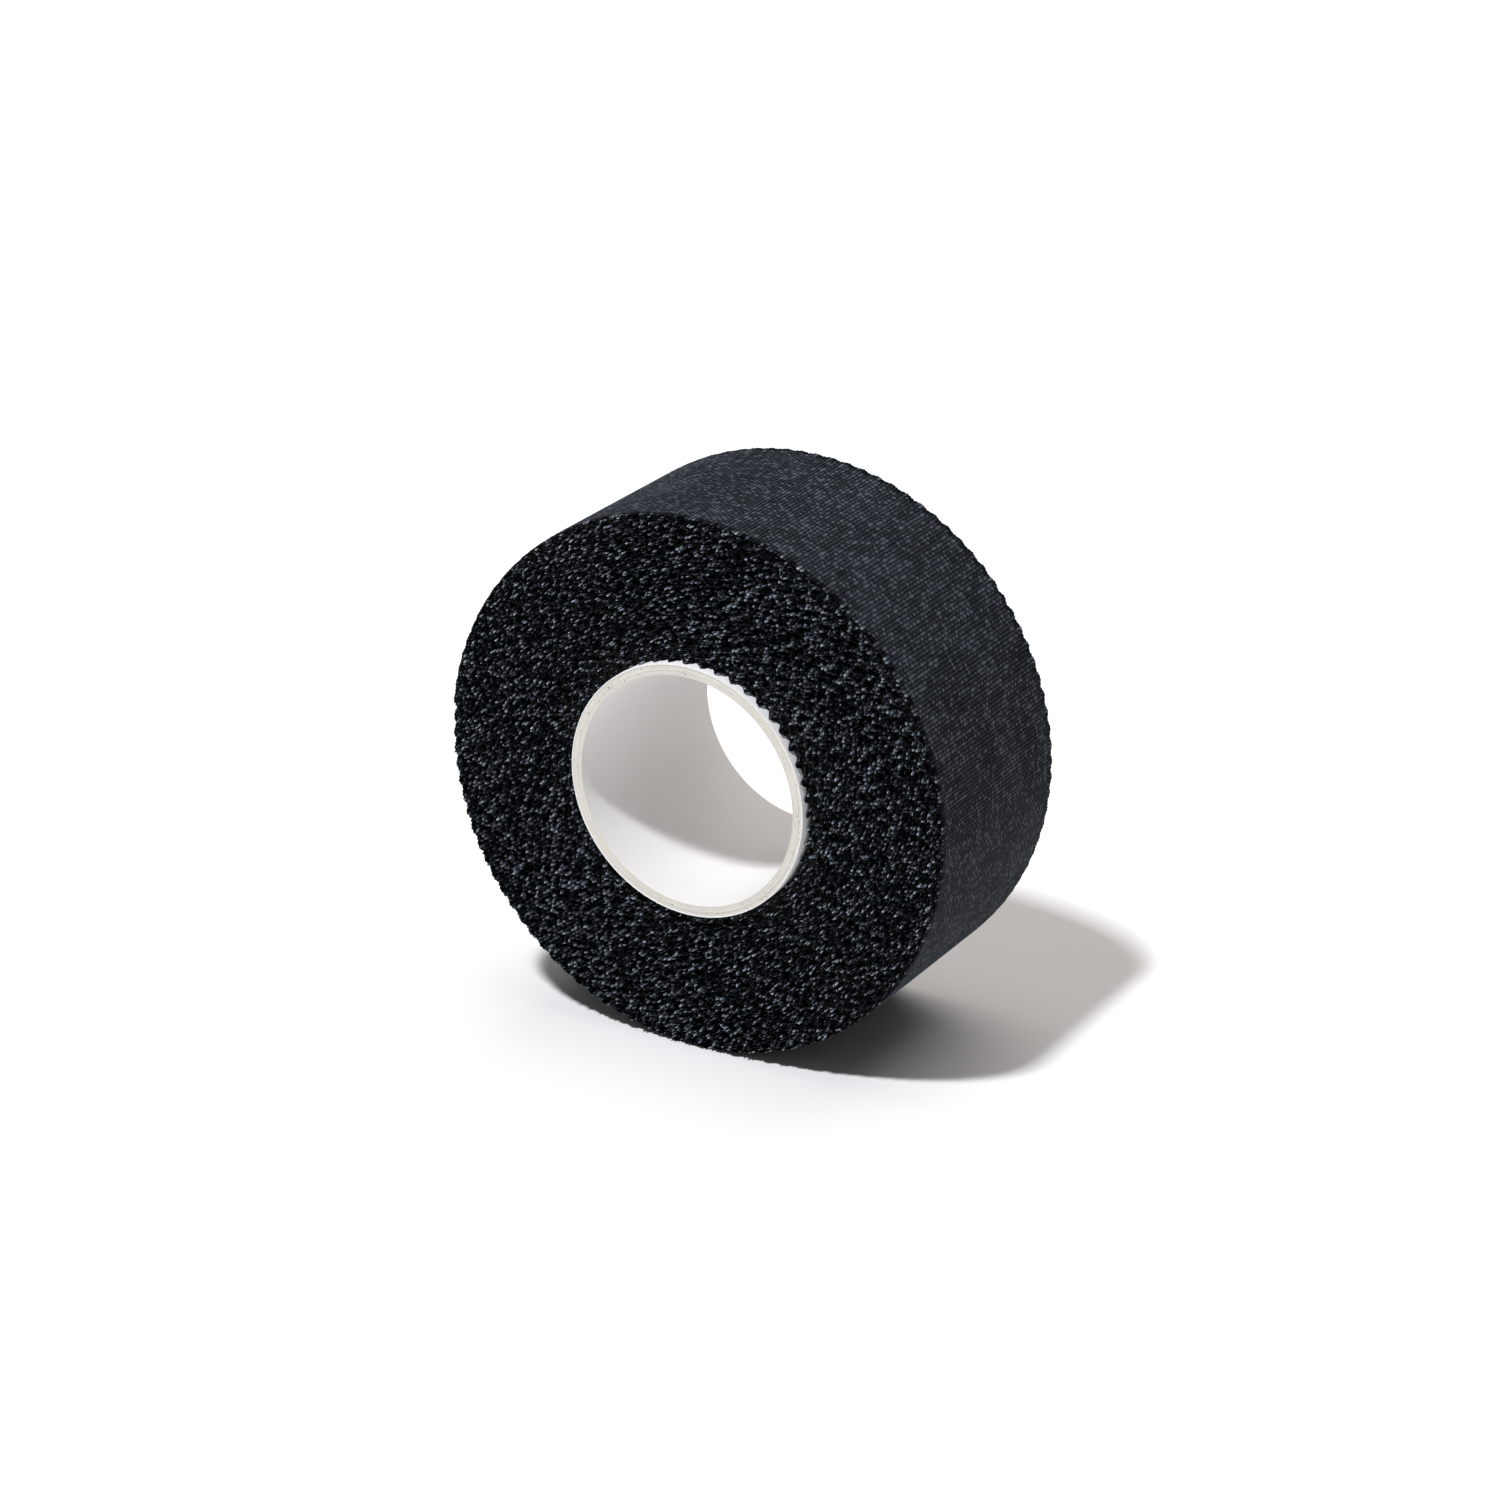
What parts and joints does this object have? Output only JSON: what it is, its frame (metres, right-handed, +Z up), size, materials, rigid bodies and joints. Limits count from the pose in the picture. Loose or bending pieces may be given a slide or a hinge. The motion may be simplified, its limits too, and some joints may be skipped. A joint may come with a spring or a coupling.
{
  "type": "grip tape roll",
  "caption": "Roll of black woven cotton grip tape with pinked edges, wound on a white-lined paperboard core, with a free end that peels back",
  "frame": {"origin": "centre of the core's bore, half way along it", "axes": "+Y along the bore and the roll's axis, which is its shortest side; +Z up, square to the surface that the tread rests on; the free end's hinge line is on the -X side above the middle"},
  "size_m": [0.0591, 0.0254, 0.0591],
  "materials": {
    "bore_paper": "smooth white liner paper",
    "board": "matt grey-cream board, cut edge",
    "wrap_paper": "matt bright white paper",
    "cotton_cloth": "black plain-weave cotton, matt",
    "adhesive": "tacky, satin"
  },
  "bodies": {
    "roll": {"core_liner": "bore_paper", "core_ply_inner": "board", "core_ply_middle": "board", "core_ply_outer": "board", "core_wrap": "wrap_paper", "tape_wound": "cotton_cloth"},
    "free_end": {"free_end_cloth": "cotton_cloth", "free_end_adhesive": "adhesive"}
  },
  "joints": [
    {"name": "free_end_peel", "type": "hinge", "parent": "roll", "child": "free_end", "pos_m": [-0.02569, 0, 0.01483], "axis": [0, 1, 0], "range_deg": [0, 120]}
  ]
}
